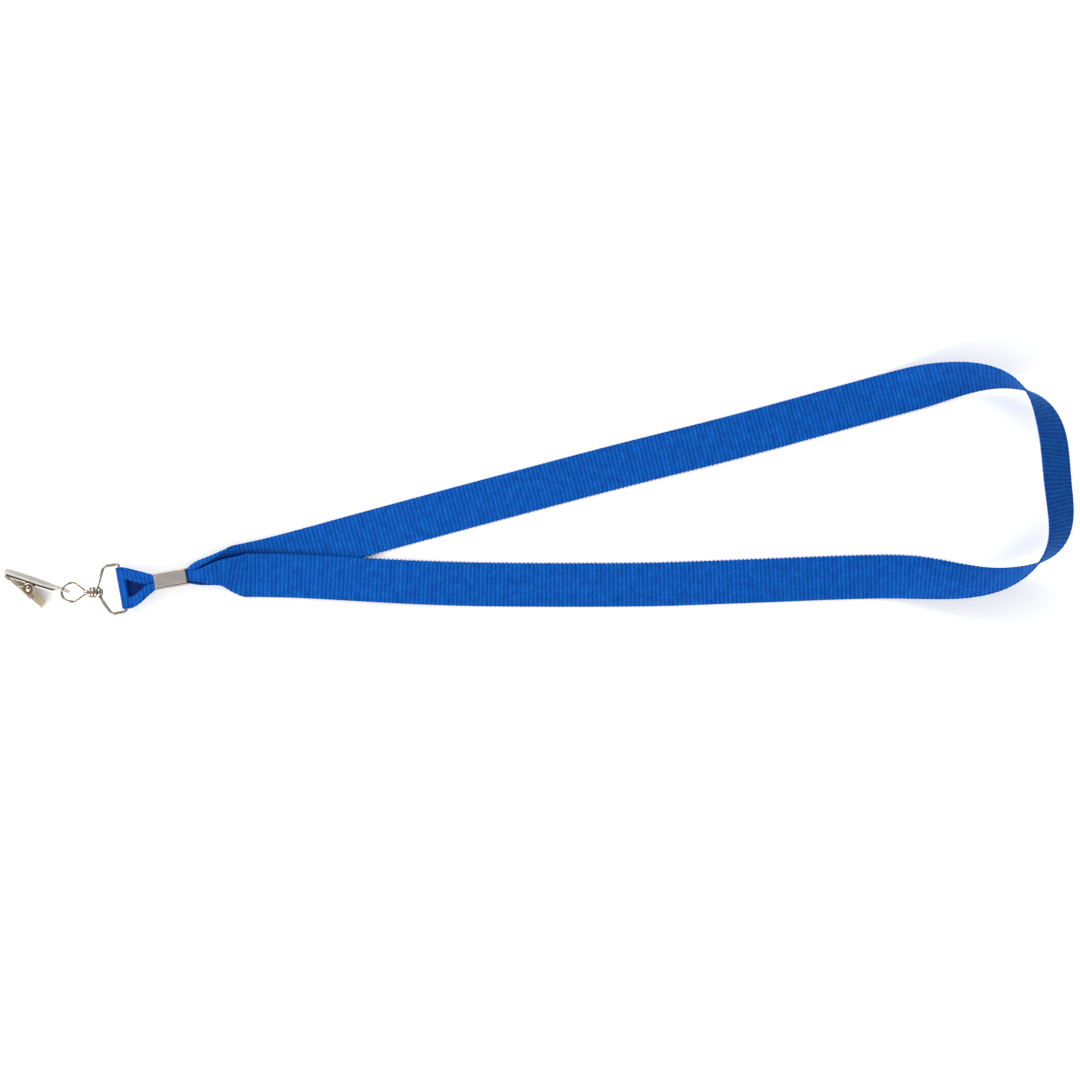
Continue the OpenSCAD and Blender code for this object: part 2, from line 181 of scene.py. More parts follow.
def math2(nodes, links, kind, a, b=None, c=None):
    node = nodes.new("ShaderNodeMath")
    node.operation = kind
    feed(links, *zip(node.inputs, (a, b, c)))
    return node.outputs[0]


def noise(nodes, links, vector, scale, detail):
    node = nodes.new("ShaderNodeTexNoise")
    feed(links, (node.inputs["Scale"], scale), (node.inputs["Detail"], detail), (node.inputs["Vector"], vector))
    return node.outputs[0]


def mixed(nodes, links, share, first, second, blend="MIX"):
    node = nodes.new("ShaderNodeMix")
    node.data_type, node.blend_type = "RGBA", blend
    feed(links, (node.inputs[0], share), (node.inputs[6], first), (node.inputs[7], second))
    return node.outputs[2]


def meshValue(nodes, name):
    node = nodes.new("ShaderNodeAttribute")
    node.attribute_name = name
    return node.outputs["Fac"]


def roughen(nodes, links, shader, heights, strength, distance):
    node = nodes.new("ShaderNodeBump")
    feed(links, (node.inputs["Strength"], strength), (node.inputs["Distance"], distance),
         (node.inputs["Height"], heights), (shader.inputs["Normal"], node.outputs[0]))


# the dark blue entry below is painted shade, mixed into the cloth in creases and in the pocket where shadow would
# lie
webbing = {"pitch": 1.94, "yarn": 0.72, "yarnShift": 2.4, "ribTone": 0.15, "yarnTone": 0.15, "middle": 0.48,
           "fibreScale": 900, "fibreTone": 0.55, "patchScale": 260, "patchTone": 0.5,
           "tones": [(0.2, (0.0005, 0.030, 0.18)), (0.52, (0.0009, 0.060, 0.295)),
                     (0.85, (0.003, 0.118, 0.46))],
           "crease": (0.0006, 0.014, 0.10, 1), "yarnBump": 0.3, "fibreBump": 0.9, "bump": 0.5,
           "bumpSize": 0.00012, "roughness": 0.7, "sheen": 0.2, "sheenRoughness": 0.3,
           "sheenTint": (0.02, 0.42, 1, 1), "specular": 0.06}


def webbingMaterial():
    # ribs across the strap, each packed with small bright floats of yarn
    w = webbing
    mat, nodes, links, shader = newMaterial("ribbedWebbing")
    uv = nodes.new("ShaderNodeUVMap")
    uv.uv_map = "cloth"
    sep = nodes.new("ShaderNodeSeparateXYZ")
    links.new(uv.outputs[0], sep.inputs[0])
    across, lengthwise = sep.outputs[0], sep.outputs[1]

    def sums(kind, *values):
        return math2(nodes, links, kind, *values)
    rib = sums("SINE", sums("MULTIPLY", lengthwise, 2 * math.pi / (w["pitch"] * mm)))
    row = sums("ROUND", sums("DIVIDE", lengthwise, w["pitch"] * mm))
    yarnTurn = sums("MULTIPLY", across, 2 * math.pi / (w["yarn"] * mm))
    yarn = sums("SINE", sums("MULTIPLY_ADD", row, w["yarnShift"], yarnTurn))
    fibre = noise(nodes, links, uv.outputs[0], w["fibreScale"], 3)
    patches = noise(nodes, links, uv.outputs[0], w["patchScale"], 2)
    tone = sums("MULTIPLY_ADD", yarn, w["yarnTone"], sums("MULTIPLY_ADD", rib, w["ribTone"], w["middle"]))
    for source, share in ((fibre, w["fibreTone"]), (patches, w["patchTone"])):
        tone = sums("MULTIPLY_ADD", source, share, sums("ADD", tone, -share / 2))
    colour = ramp(nodes, w["tones"])
    links.new(tone, colour.inputs[0])
    # painted shade: the dark blue is mixed in by the mesh's shade mark, in creases and in the pocket
    shadedCloth = mixed(nodes, links, meshValue(nodes, "crease"), colour.outputs[0], w["crease"])
    heights = sums("MULTIPLY_ADD", yarn, w["yarnBump"], sums("MULTIPLY", fibre, w["fibreBump"]))
    roughen(nodes, links, shader, heights, w["bump"], w["bumpSize"])
    for name, value in (("Base Color", shadedCloth), ("Roughness", w["roughness"]), ("Sheen Weight", w["sheen"]),
                        ("Sheen Roughness", w["sheenRoughness"]), ("Sheen Tint", w["sheenTint"]),
                        ("Specular IOR Level", w["specular"])):
        feed(links, (shader.inputs[name], value))
    return mat


# painted reflections, painted highlights and painted shade by how far a surface faces up, standing in for light on
# the rounded metal: walls first, flat faces last
roundShading = [(0.0, (0.10, 0.075, 0.06)), (0.45, (0.17, 0.135, 0.11)), (0.62, (0.36, 0.31, 0.27)),
             (0.80, (0.66, 0.61, 0.56)), (0.93, (0.55, 0.50, 0.45)), (1.0, (0.32, 0.28, 0.25))]
crimpShading = [(0.0, (0.2, 0.17, 0.15)), (0.36, (0.26, 0.22, 0.2)), (0.47, (0.72, 0.7, 0.68)),
             (0.72, (0.76, 0.74, 0.72)), (0.82, (0.06, 0.05, 0.04)), (0.94, (0.07, 0.06, 0.05)),
             (0.975, (0.78, 0.76, 0.75)), (1.0, (0.84, 0.82, 0.81))]
jawShading = [(0.0, (0.40, 0.37, 0.345)), (0.25, (0.50, 0.46, 0.435)), (0.36, (0.95, 0.93, 0.9)),
           (0.84, (1.0, 0.98, 0.96)), (0.90, (0.2, 0.17, 0.15)), (0.96, (0.08, 0.065, 0.055))]
leverShading = [(0.0, (0.4, 0.35, 0.32)), (0.3, (0.5, 0.45, 0.41)), (0.6, (0.66, 0.61, 0.56)),
             (0.80, (0.56, 0.51, 0.465)), (0.87, (0.36, 0.31, 0.27)), (0.95, (0.14, 0.105, 0.08))]
# each finish's tones are its painted shade and painted highlights by facing
plating = {
    "crimpSatin": {"light": (0.76, 0.73, 0.70), "dark": (0.64, 0.61, 0.58), "roughness": 0.36, "grain": 1800,
                   "bumpSize": 0.00003, "tones": crimpShading, "stretch": (0.25, 3, 3)},
    "wireNickel": {"light": (0.80, 0.76, 0.70), "dark": (0.62, 0.58, 0.52), "roughness": 0.2, "grain": 2200,
                   "bumpSize": 0.00002, "tones": roundShading},
    "rivetNickel": {"light": (0.80, 0.77, 0.72), "dark": (0.66, 0.63, 0.58), "roughness": 0.22, "grain": 2400,
                    "bumpSize": 0.00002, "tones": roundShading},
    "jawNickel": {"light": (0.86, 0.84, 0.80), "dark": (0.72, 0.70, 0.66), "roughness": 0.2, "grain": 2600,
                  "bumpSize": 0.00002, "tones": jawShading},
    "leverNickel": {"light": (0.83, 0.80, 0.75), "dark": (0.70, 0.67, 0.61), "roughness": 0.2, "grain": 2600,
                    "bumpSize": 0.00002, "tones": leverShading},
    "springWire": {"light": (0.42, 0.40, 0.37), "dark": (0.25, 0.24, 0.22), "roughness": 0.3, "grain": 2000,
                   "bumpSize": 0.00002, "tones": roundShading}}
blotches = {"scale": 300, "detail": 3, "from": 0.35, "to": 0.65}
scratches = {"detail": 4, "roughness": 0.16, "bump": 0.35}
leverInside = {"colour": (0.95, 0.87, 0.66, 1), "lessMetallic": -0.75}


def markFacing(piece, lightShift=None):
    # stores on each point how far it faces up, which picks its painted shade and painted highlights, less a
    # painted light shift
    normals = np.zeros(len(piece.data.vertices) * 3, np.float32)
    piece.data.vertices.foreach_get("normal", normals)
    place = piece.data.attributes.new("facing", "FLOAT", "POINT")
    values = np.abs(normals.reshape(-1, 3)[:, 2])
    if lightShift:
        points = np.zeros(len(values) * 3, np.float32)
        piece.data.vertices.foreach_get("co", points)
        values = values * (1 - lightShift(points.reshape(-1, 3)))
    place.data.foreach_set("value", values)
    return piece


def metalMaterial(name):
    # painted shade and painted highlights by facing, faint blotches of tone, fine scratches and a little roughness
    # variation
    p = plating[name]
    mat, nodes, links, shader = newMaterial(name)
    place = nodes.new("ShaderNodeTexCoord")
    mapping = nodes.new("ShaderNodeMapping")
    mapping.inputs["Scale"].default_value = p.get("stretch", (1, 1, 1))
    links.new(place.outputs["Object"], mapping.inputs[0])
    tone = noise(nodes, links, mapping.outputs[0], blotches["scale"], blotches["detail"])
    fine = noise(nodes, links, mapping.outputs[0], p["grain"], scratches["detail"])
    colour = ramp(nodes, [(blotches["from"], p["dark"]), (blotches["to"], p["light"])])
    links.new(tone, colour.inputs[0])
    paintedShading = ramp(nodes, p["tones"])
    links.new(meshValue(nodes, "facing"), paintedShading.inputs[0])
    # painted light: the plating colour times the facing ramp's painted shade and painted highlights
    shadedPlating = mixed(nodes, links, 1, colour.outputs[0], paintedShading.outputs[0], "MULTIPLY")
    rough = math2(nodes, links, "MULTIPLY_ADD", fine, scratches["roughness"],
                  p["roughness"] - scratches["roughness"] / 2)
    feed(links, (shader.inputs["Base Color"], shadedPlating), (shader.inputs["Metallic"], 1),
         (shader.inputs["Roughness"], rough))
    roughen(nodes, links, shader, fine, scratches["bump"], p["bumpSize"])
    return mat


def leverMaterial():
    # bright nickel outside, a creamy dull plating on the inside, mixed by the mesh's own attribute
    mat = metalMaterial("leverNickel")
    nodes, links = mat.node_tree.nodes, mat.node_tree.links
    shader = nodes["Principled BSDF"]
    outer = shader.inputs["Base Color"].links[0].from_socket
    inside = meshValue(nodes, "inside")
    metallic = math2(nodes, links, "MULTIPLY_ADD", inside, leverInside["lessMetallic"], 1)
    feed(links, (shader.inputs["Metallic"], metallic),
         (shader.inputs["Base Color"], mixed(nodes, links, inside, outer, leverInside["colour"])))
    return mat


cloth = webbingMaterial()
crimpSteel, wireSteel, pinSteel, jawSteel, springSteel = (
    metalMaterial(name) for name in ("crimpSatin", "wireNickel", "rivetNickel", "jawNickel", "springWire"))
leverSteel = leverMaterial()
print("materials made")

view = {"height": 1.5, "across": 0.4968, "x": 0.00174, "y": -0.02344}
cameraData = bpy.data.cameras.new("camera")
cameraData.angle = 2 * math.atan(view["across"] / 2 / view["height"])
cameraData.clip_end = 20
camera = bpy.data.objects.new("camera", cameraData)
camera.location = (view["x"], view["y"], view["height"])
scene.collection.objects.link(camera)
scene.camera = camera

# the two entries near the end set how wide and how dark the painted shade beside the upper layer is
strapSize = {"width": 20.0, "thickness": 0.8, "foldedThickness": 0.5, "foldRadius": 0.32,
             "foldWidth": 5.6, "topWidth": 4.2, "pullAngle": 10.0, "ribHeight": 0.11,
             "crimpGap": 14.9, "crimpLength": 15.2, "barHeight": 3.35, "wireRadius": 0.75,
             "barGap": 0.2, "runGap": 3.6, "looseEdge": 0.31, "edgeSlim": 0.45,
             "shadeWidth": 2.1, "shadeStrength": 1.15, "stepsInRib": 4}
barPlace = np.array(joints["ring_swing"]["pos_m"])       # the middle of the ring's bar
layoutShift = np.array([barPlace[0] / mm, barPlace[1] / mm, 0])
pull = math.radians(strapSize["pullAngle"])


def along(u, z):
    return [u * math.cos(pull), u * math.sin(pull), z]


lie, over = 0.45, 1.45  # heights of the cloth's middle on the table and on the other run
midZ = strapSize["barHeight"]
lowZ, topZ = midZ - strapSize["runGap"] / 2, midZ + strapSize["runGap"] / 2
crimpIn, crimpOut = strapSize["crimpGap"] + 1, strapSize["crimpGap"] + strapSize["crimpLength"]
fullW, foldW, topW = strapSize["width"], strapSize["foldWidth"], strapSize["topWidth"]


def inCrimp(u, z):
    return along(u, z) + [0, foldW, -1, 1, 0.05]


# x, y, height of the lower edge, lean, width, the ways its left and right edges fold,
# and the fold's extra radius
def flatRow(x, y, z=lie, lean=0):
    return [x, y, z, lean, fullW, -1, 1, 0]


runOut = [inCrimp(crimpIn, midZ), inCrimp(crimpIn + 4, midZ), inCrimp(crimpIn + 8, midZ),
          inCrimp(crimpOut - 2, midZ), inCrimp(crimpOut, midZ),
          along(crimpOut + 1.5, midZ - 0.2) + [4, 8.0, -1, 1, 0.45],
          [34.5, 6.5, 1.9, 10, 11.4, -1, 1, 0.6], [38, 7.2, 1.5, 14, 12.9, -1, 1, 0.55],
          [41.5, 7.9, 1.1, 16, 14.2, -1, 1, 0.45], [46, 8.6, 0.8, 15, 16.9, -1, 1, 0.3],
          [50, 9.2, 0.6, 12, 18.7, -1, 1, 0.15], [54, 9.9, 0.5, 9, 19.5, -1, 1, 0.05],
          [58, 10.8, 0.5, 7, 19.9, -1, 1, 0],
          flatRow(66, 12.4, lie, 5), flatRow(82, 16.6, lie, 2)] + [flatRow(*xy) for xy in (
              (109, 24.1), (137, 31.7), (164, 39), (192, 46.4), (220, 53.9), (247, 60.7), (275, 67.6),
              (302, 74.9), (316, 78.8), (330, 82.6), (343, 86.2))]
arch = [[355, 89.4, lie, 2], [366, 92.3, lie, 12], [376, 94.6, lie, 30], [386, 96.2, 0.8, 45],
        [396, 96.6, 1.6, 60], [406, 94.8, 3, 78], [415, 89.5, 5.5, 102], [421, 81.5, 8.5, 125],
        [424.5, 71.5, 11.5, 136], [425.5, 60, 14, 137], [426, 49, 15.5, 136], [427.5, 38, 15, 135],
        [428.5, 28, 12.5, 131], [426.5, 19, 9, 118], [420.5, 12, 6, 99], [412.5, 7, 4, 80],
        [402.5, 3.6, 2, 63], [392, 2.6, 1, 48], [381, 3, lie, 34], [370, 4.2, lie, 20],
        [359, 4.9, lie, 6]]
runBack = [flatRow(*xy) for xy in (
    (347, 5), (330, 4.5), (316, 4), (302, 3.4), (275, 2.4), (247, 1.3), (220, 1.1), (192, 1.1), (164, 1.3),
    (140, 2, over - 0.3), (120, 3, over + 0.2), (100, 4.2, over), (82, 5.2, over, -2),
    (66, 5.6, over + 0.25, -5))] + [
        # leaning with the layer below, and clear of it where the edges fold under
        [60, 5.6, over + 0.5, -6.5, 19.9, -1, -1, 0], [55.5, 5.6, over + 1.0, -8, 19.2, -1, -1, 0.05],
        [51, 6.2, over + 2.0, -11, 16.2, -1, -1, 0.15], [46.7, 6.9, over + 2.9, -12, 12.6, -1, -1, 0.25],
        [42.5, 6.4, over + 3.6, -8, 10.4, -1, -1, 0.25], [38, 5.8, topZ + 0.1, -2, 7.6, -1, -1, 0.2],
        [34.5, 5.5, topZ + 0.2, 0, 5.2, -1, -1, 0.1], along(crimpOut + 1.2, topZ) + [0, topW, -1, -1, 0.05]] + [
            along(u, topZ) + [0, topW, -1, -1, 0] for u in (crimpOut, crimpOut - 2, crimpIn + 9, crimpIn + 6)]
neckStations = np.array(runOut + [s + [fullW, -1, 1, 0] for s in arch] + runBack, float)


def spline(p, sub):
    # a smooth curve near its points, a cubic B-spline
    out = []
    for i in range(len(p) - 3):
        for k in range(sub):
            t = k / sub
            out.append((p[i] * (1 - t) ** 3 + p[i + 1] * (3 * t ** 3 - 6 * t * t + 4)
                        + p[i + 2] * (-3 * t ** 3 + 3 * t * t + 3 * t + 1) + p[i + 3] * t ** 3) / 6)
    return np.array(out)


def neckSections():
    # the strap round the neck: places, directions, widths, folds and rolls, with no pocket
    s = spline(neckStations, 16)
    centre = s[:, :3].copy()
    centre[:, 2] += s[:, 4] / 2 * np.sin(np.radians(s[:, 3])) * (s[:, 3] > 0)
    t = np.gradient(centre, axis=0)
    t /= np.linalg.norm(t, axis=1)[:, None]
    left = np.stack([-t[:, 1], t[:, 0], np.zeros(len(t))], 1)
    left /= np.linalg.norm(left, axis=1)[:, None]
    lean = np.radians(s[:, 3])[:, None]
    across = left * np.cos(lean) + np.cross(t, left) * np.sin(lean)
    zero = np.zeros(len(s))
    return centre, across, np.cross(t, across), s[:, 4], s[:, 5], s[:, 6], s[:, 7], zero, zero


# over the bar: distance along, height, width, shift sideways, pocket's half width and pocket's depth
overBar = {"at": [19, 14.9, 13.4, 11.6, 10.4, 9.7, 8, 6.1, 4.2, 3.4, 2.7, 2.0, 0],
           "height": [0, 0, 0.05, 0.1, 0.15, 0.15, 0.1, 0, -0.15, -0.25, -0.3, -0.35, -0.4],
           "width": [5.6, 6.6, 8.4, 10, 11.2, 11.9, 13.6, 15.2, 16.8, 17.5, 17.9, 18.2, 18.4],
           "shift": [0, 0.1, 0.25, 0.4, 0.6, 0.7, 1.0, 1.2, 1.1, 0.95, 0.8, 0.6, 0.2],
           "pocket": [0.05, 0.1, 0.15, 0.2, 0.3, 0.6, 1.5, 2.4, 3.3, 3.65, 3.85, 3.9, 3.9],
           "depth": [0, 0.6, 0.75, 0.85, 1.1, 1.5, 2.0, 2.2, 2.2, 2.1, 1.6, 0.1, 0], "roll": 0.12}


def loopSections():
    # the strap over the ring's bar and back, its edges folded over a pocket on top
    gap, wrap = strapSize["crimpGap"], strapSize["wireRadius"] + strapSize["barGap"] + lie
    acrossDir = np.array([math.sin(pull), -math.cos(pull), 0])
    rows = []
    o = overBar
    for u in np.arange(o["at"][0], 0.01, -0.25):
        height, width, shift, pocket, depth = [np.interp(-u, -np.array(o["at"]), o[k])
                                               for k in ("height", "width", "shift", "pocket", "depth")]
        centre = np.array(along(u, topZ + height)) + shift * acrossDir
        rows.append((centre, [0, 0, 1], width, 1, 1, o["roll"], pocket, depth))
    for a in np.radians(np.arange(6, 181, 6)):
        aside = o["shift"][-1] * (1 - a / math.pi) * acrossDir
        centre = np.array(along(-wrap * math.sin(a), midZ + wrap * math.cos(a))) + aside
        way = 1 - 2 * a / math.pi
        rows.append((centre, along(-math.sin(a), math.cos(a)), o["width"][-1], way, way, o["roll"], 0, 0))
    underBar = [(gap - 13.6, midZ - wrap, 18.2), (gap - 11, midZ - wrap, 16.4), (gap - 8, midZ - wrap, 13.6),
                (gap - 5, lowZ + 0.25, 11), (gap - 2, lowZ + 0.15, 8), (gap + 0.5, lowZ, foldW),
                (gap + 8, lowZ, foldW), (gap + 13, lowZ, foldW)]
    for u, z, w in spline(np.array([underBar[0]] + underBar + [underBar[-1]], float), 6):
        rows.append((along(u, z), [0, 0, -1], w, -1, -1, 0, 0, 0))
    centre = np.array([r[0] for r in rows], float)
    normal = np.array([r[1] for r in rows], float)
    across = np.tile(acrossDir, (len(rows), 1))
    return centre, across, normal, *[np.array([r[i] for r in rows], float) for i in range(2, 8)]


def clothProfile(width, foldLeft, foldRight, roll, pocket, depth):
    # points across the cloth in its section's plane: across, up, the cloth's own coordinate
    # and how much painted shade it takes, from how deep the pocket sinks there
    r, whole = strapSize["foldRadius"] + roll, strapSize["width"] / 2
    k = min(max((whole - width / 2) / 1.2, 0), 1)
    c = width / 2 - r * k * k * (3 - 2 * k)
    bend = math.pi * r
    split = min(c, whole - 1.0)
    bendEnd = split + 0.55 if c > whole - 1.0 else min(c + bend, whole - 0.2)
    share = min(pocket, 1.0)
    plain = np.linspace(0.05, 1, 6) * split
    pocketed = np.array([0.3 * pocket, 0.9 * pocket, pocket + 0.2, pocket + 0.5, pocket + 0.85, split])
    samples = np.concatenate([plain * (1 - share) + pocketed * share,
                              split + np.linspace(0.34, 1, 3) * (bendEnd - split),
                              bendEnd + np.linspace(0.34, 1, 3) * (whole - bendEnd)])
    flap = whole - c - bend
    squeeze = min(1, (c - 0.15) / flap) if flap > 0.01 else 1
    sides = []
    for fold in (foldLeft, foldRight):
        out = []
        for q in samples:
            sink = 0.0
            if q <= c:
                x, y = q, 0.0
                edge = min(max((pocket + 0.8 - q) / 0.8, 0), 1)
                sink = depth * edge * edge * (3 - 2 * edge)
            elif q <= c + bend:
                a = (q - c) / r
                x, y = c + r * math.sin(a), r * (1 - math.cos(a))
            else:
                f = (q - c - bend) * squeeze
                x, y = c - f, 2 * r - 0.35 * roll * f
            # the fourth value is painted shade, deeper where the pocket sinks, as if the pocket lay in shadow
            out.append((x, y * fold - sink, q, min(sink / 1.3, 1)))
        sides.append(np.array(out))
    return np.vstack([sides[0][::-1] * [-1, 1, -1, 1], sides[1]])


def buildStrap():
    parts = [neckSections(), loopSections()]
    rows = [np.concatenate([p[i] for p in parts]) for i in range(9)]
    step = np.linalg.norm(np.diff(rows[0], axis=0), axis=1)
    keep = np.concatenate([[True], step > 1e-6])
    rows = [a[keep] for a in rows]
    s = np.concatenate([[0], np.cumsum(np.linalg.norm(np.diff(rows[0], axis=0), axis=1))])
    want = np.arange(0, s[-1], webbing["pitch"] / strapSize["stepsInRib"])

    def at(a):
        if a.ndim == 1:
            return np.interp(want, s, a)
        return np.stack([np.interp(want, s, a[:, i]) for i in range(3)], 1)
    centre, across, normal, width, foldLeft, foldRight, roll, pocket, depth = map(at, rows)
    across /= np.linalg.norm(across, axis=1)[:, None]
    normal /= np.linalg.norm(normal, axis=1)[:, None]
    # painted shade on the layer below, along both edges of the layer on top, where the crease between them would
    # lie in shadow
    upper = np.where((want > s[-1] * 0.7) & (centre[:, 0] > 30) & (centre[:, 0] < 115))[0]
    upper = upper[np.argsort(centre[upper, 0])]
    points, uv, crease, edge = [], [], [], []
    for i, v in enumerate(want):
        line = clothProfile(width[i], foldLeft[i], foldRight[i], roll[i], pocket[i], depth[i])
        if v < s[-1] * 0.2 and centre[i, 0] < 110:
            x, y = (centre[i, k] + line[:, 0] * across[i, k] for k in (0, 1))
            upperY, upperW = (np.interp(x, centre[upper, 0], a[upper]) for a in (centre[:, 1], width))
            beside = np.clip(abs(y - upperY) - upperW / 2, 0, None) / strapSize["shadeWidth"]
            fade = np.interp(x, [30, 52, 62, 80, 110], [1, 1, 0.65, 0.3, 0])
            panel = (np.abs(line[:, 2]) < 9.2) & (np.abs(line[:, 1]) < 0.3)
            line[:, 3] = np.clip(strapSize["shadeStrength"] * np.exp(-beside ** 2) * fade * panel, 0, 0.93)
        slim = min(max((strapSize["width"] - width[i]) / 4, 0), 1)
        half = (strapSize["thickness"] * (1 - slim) + strapSize["foldedThickness"] * slim) / 2
        run = np.gradient(line[:, :2], axis=0)
        run /= np.linalg.norm(run, axis=1)[:, None]
        off = np.stack([-run[:, 1], run[:, 0]], 1) * half
        off[[0, -1]] *= strapSize["edgeSlim"]
        for sideSign, order in ((1, slice(None)), (-1, slice(None, None, -1))):
            flat = (line[:, :2] + sideSign * off)[order]
            points.append(centre[i] + np.outer(flat[:, 0], across[i]) + np.outer(flat[:, 1], normal[i]))
            uv.append(np.stack([line[order][:, 2] * mm, np.full(len(line), v * mm)], 1))
            crease.append(line[order][:, 3])
        edge.append(centre[i] + (line[0, 0] - 0.12) * across[i] + line[0, 1] * normal[i])
    ringSize = 2 * len(line)
    allPoints = (np.vstack(points) + layoutShift) * mm
    uv = np.vstack(uv)
    faces = loft([[0] * ringSize] * len(want))
    piece = addMesh("neckStrap", allPoints, faces)
    layer = piece.data.uv_layers.new(name="cloth")
    loopVerts = np.zeros(len(piece.data.loops), np.int32)
    piece.data.loops.foreach_get("vertex_index", loopVerts)
    layer.data.foreach_set("uv", uv[loopVerts].astype(np.float32).ravel())
    # the painted shade of each point is stored on the mesh for the cloth's colour
    for name, values in (("alongCloth", uv[:, 1]), ("crease", np.concatenate(crease))):
        place = piece.data.attributes.new(name, "FLOAT", "POINT")
        place.data.foreach_set("value", values.astype(np.float32))
    piece.data.materials.append(cloth)
    return piece, (np.array(edge) + layoutShift) * mm, s[-1] * mm


def ribTree():
    # raises ribs along the strap from each point's distance along the cloth
    tree = bpy.data.node_groups.new("strapRibs", "GeometryNodeTree")
    face = tree.interface
    face.new_socket("Geometry", in_out="INPUT", socket_type="NodeSocketGeometry")
    pitch = face.new_socket("Rib pitch", in_out="INPUT", socket_type="NodeSocketFloat")
    height = face.new_socket("Rib height", in_out="INPUT", socket_type="NodeSocketFloat")
    finish = face.new_socket("Finish", in_out="INPUT", socket_type="NodeSocketMaterial")
    face.new_socket("Geometry", in_out="OUTPUT", socket_type="NodeSocketGeometry")
    nodes, links = tree.nodes, tree.links
    inputs, output = nodes.new("NodeGroupInput"), nodes.new("NodeGroupOutput")
    along_ = nodes.new("GeometryNodeInputNamedAttribute")
    along_.data_type = "FLOAT"
    along_.inputs["Name"].default_value = "alongCloth"
    turns = math2(nodes, links, "DIVIDE", along_.outputs["Attribute"], inputs.outputs["Rib pitch"])
    wave = math2(nodes, links, "SINE", math2(nodes, links, "MULTIPLY", turns, 2 * math.pi))
    halfHeight = math2(nodes, links, "MULTIPLY", inputs.outputs["Rib height"], 0.5)
    lift = math2(nodes, links, "MULTIPLY", wave, halfHeight)
    normal = nodes.new("GeometryNodeInputNormal")
    scale = nodes.new("ShaderNodeVectorMath")
    scale.operation = "SCALE"
    links.new(normal.outputs[0], scale.inputs[0])
    links.new(lift, scale.inputs["Scale"])
    setPlace = nodes.new("GeometryNodeSetPosition")
    links.new(inputs.outputs["Geometry"], setPlace.inputs["Geometry"])
    links.new(scale.outputs[0], setPlace.inputs["Offset"])
    realize, setFinish = nodes.new("GeometryNodeRealizeInstances"), nodes.new("GeometryNodeSetMaterial")
    links.new(setPlace.outputs[0], realize.inputs[0])
    links.new(realize.outputs[0], setFinish.inputs["Geometry"])
    links.new(inputs.outputs["Finish"], setFinish.inputs["Material"])
    links.new(setFinish.outputs[0], output.inputs[0])
    return tree, {"pitch": pitch.identifier, "height": height.identifier, "finish": finish.identifier}


def loopTree():
    # repeats a small loop of yarn along the strap's loose edge
    tree = bpy.data.node_groups.new("edgeLoops", "GeometryNodeTree")
    face = tree.interface
    face.new_socket("Geometry", in_out="INPUT", socket_type="NodeSocketGeometry")
    pitch = face.new_socket("Loop pitch", in_out="INPUT", socket_type="NodeSocketFloat")
    radius = face.new_socket("Loop radius", in_out="INPUT", socket_type="NodeSocketFloat")
    seed = face.new_socket("Seed", in_out="INPUT", socket_type="NodeSocketInt")
    finish = face.new_socket("Finish", in_out="INPUT", socket_type="NodeSocketMaterial")
    face.new_socket("Geometry", in_out="OUTPUT", socket_type="NodeSocketGeometry")
    nodes, links = tree.nodes, tree.links
    inputs, output = nodes.new("NodeGroupInput"), nodes.new("NodeGroupOutput")
    toCurve = nodes.new("GeometryNodeMeshToCurve")
    resample = nodes.new("GeometryNodeResampleCurve")
    resample.mode = "LENGTH"
    links.new(inputs.outputs["Geometry"], toCurve.inputs[0])
    links.new(toCurve.outputs[0], resample.inputs["Curve"])
    links.new(inputs.outputs["Loop pitch"], resample.inputs["Length"])
    ball = nodes.new("GeometryNodeMeshUVSphere")
    ball.inputs["Segments"].default_value = 8
    ball.inputs["Rings"].default_value = 5
    links.new(inputs.outputs["Loop radius"], ball.inputs["Radius"])
    tangent = nodes.new("GeometryNodeInputTangent")
    align = nodes.new("FunctionNodeAlignRotationToVector")
    align.axis = "X"
    links.new(tangent.outputs[0], align.inputs["Vector"])
    size = nodes.new("FunctionNodeRandomValue")
    size.data_type = "FLOAT_VECTOR"
    size.inputs[0].default_value = (1.25, 0.8, 0.8)
    size.inputs[1].default_value = (1.6, 1.15, 1.1)
    links.new(inputs.outputs["Seed"], size.inputs["Seed"])
    repeat = nodes.new("GeometryNodeInstanceOnPoints")
    links.new(resample.outputs[0], repeat.inputs["Points"])
    links.new(ball.outputs[0], repeat.inputs["Instance"])
    links.new(align.outputs[0], repeat.inputs["Rotation"])
    links.new(size.outputs[0], repeat.inputs["Scale"])
    realize, setFinish = nodes.new("GeometryNodeRealizeInstances"), nodes.new("GeometryNodeSetMaterial")
    links.new(repeat.outputs[0], realize.inputs[0])
    links.new(realize.outputs[0], setFinish.inputs["Geometry"])
    links.new(inputs.outputs["Finish"], setFinish.inputs["Material"])
    links.new(setFinish.outputs[0], output.inputs[0])
    return tree, {"pitch": pitch.identifier, "radius": radius.identifier, "seed": seed.identifier,
                  "finish": finish.identifier}


def grown(piece, tree, values):
    # runs a tree on a piece and keeps the plain mesh
    modifier = piece.modifiers.new("grow", "NODES")
    modifier.node_group = tree
    for identifier, value in values.items():
        modifier[identifier] = value
    bpy.context.view_layer.update()
    graph = bpy.context.evaluated_depsgraph_get()
    mesh = bpy.data.meshes.new_from_object(piece.evaluated_get(graph), depsgraph=graph)
    piece.modifiers.remove(modifier)
    piece.data = mesh
    mesh.polygons.foreach_set("use_smooth", [True] * len(mesh.polygons))
    return piece


strap, looseEdge, cutLength = buildStrap()
tree, ids = ribTree()
grown(strap, tree, {ids["pitch"]: webbing["pitch"] * mm, ids["height"]: strapSize["ribHeight"] * mm,
                    ids["finish"]: cloth})
print("strap made, cut length", round(cutLength, 3), "m,", len(strap.data.polygons), "faces")

